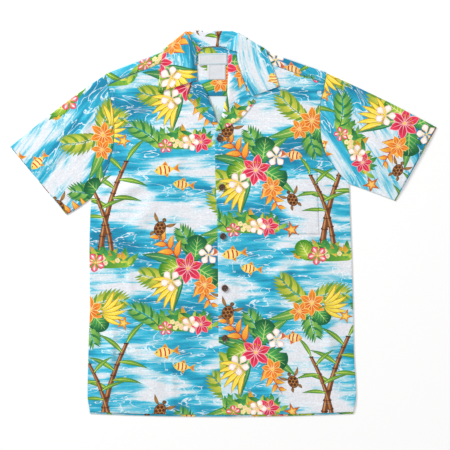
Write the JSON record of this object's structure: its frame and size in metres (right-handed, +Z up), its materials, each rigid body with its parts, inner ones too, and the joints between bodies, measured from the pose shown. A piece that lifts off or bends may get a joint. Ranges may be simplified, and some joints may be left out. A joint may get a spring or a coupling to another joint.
{
  "type": "hawaiian shirt",
  "caption": "Short-sleeved camp-collar shirt laid flat, with turned-out lapels, a yoke, a chest pocket, a buttoned front and a tropical print.",
  "frame": {"origin": "middle of the laid-out shirt's outline, on the surface it lies on", "axes": "+Z up out of the surface through the front face, +X towards the wearer's left sleeve, +Y towards the collar"},
  "size_m": [0.9096, 0.8266, 0.011],
  "materials": {
    "print_cloth": "printed plain-weave cotton",
    "label_tape": "woven satin tape",
    "coconut_shell": "polished coconut shell"
  },
  "bodies": {
    "root": {"back": "print_cloth", "yoke": "print_cloth", "yoke_inner": "print_cloth", "front_right": "print_cloth", "front_left": "print_cloth", "pocket": "print_cloth", "lapel_right": "print_cloth", "lapel_left": "print_cloth", "collar": "print_cloth", "sleeve_right": "print_cloth", "sleeve_left": "print_cloth", "neck_label": "label_tape", "size_tab": "label_tape", "button_1": "coconut_shell", "button_2": "coconut_shell", "button_3": "coconut_shell", "button_4": "coconut_shell", "button_5": "coconut_shell"}
  },
  "joints": []
}
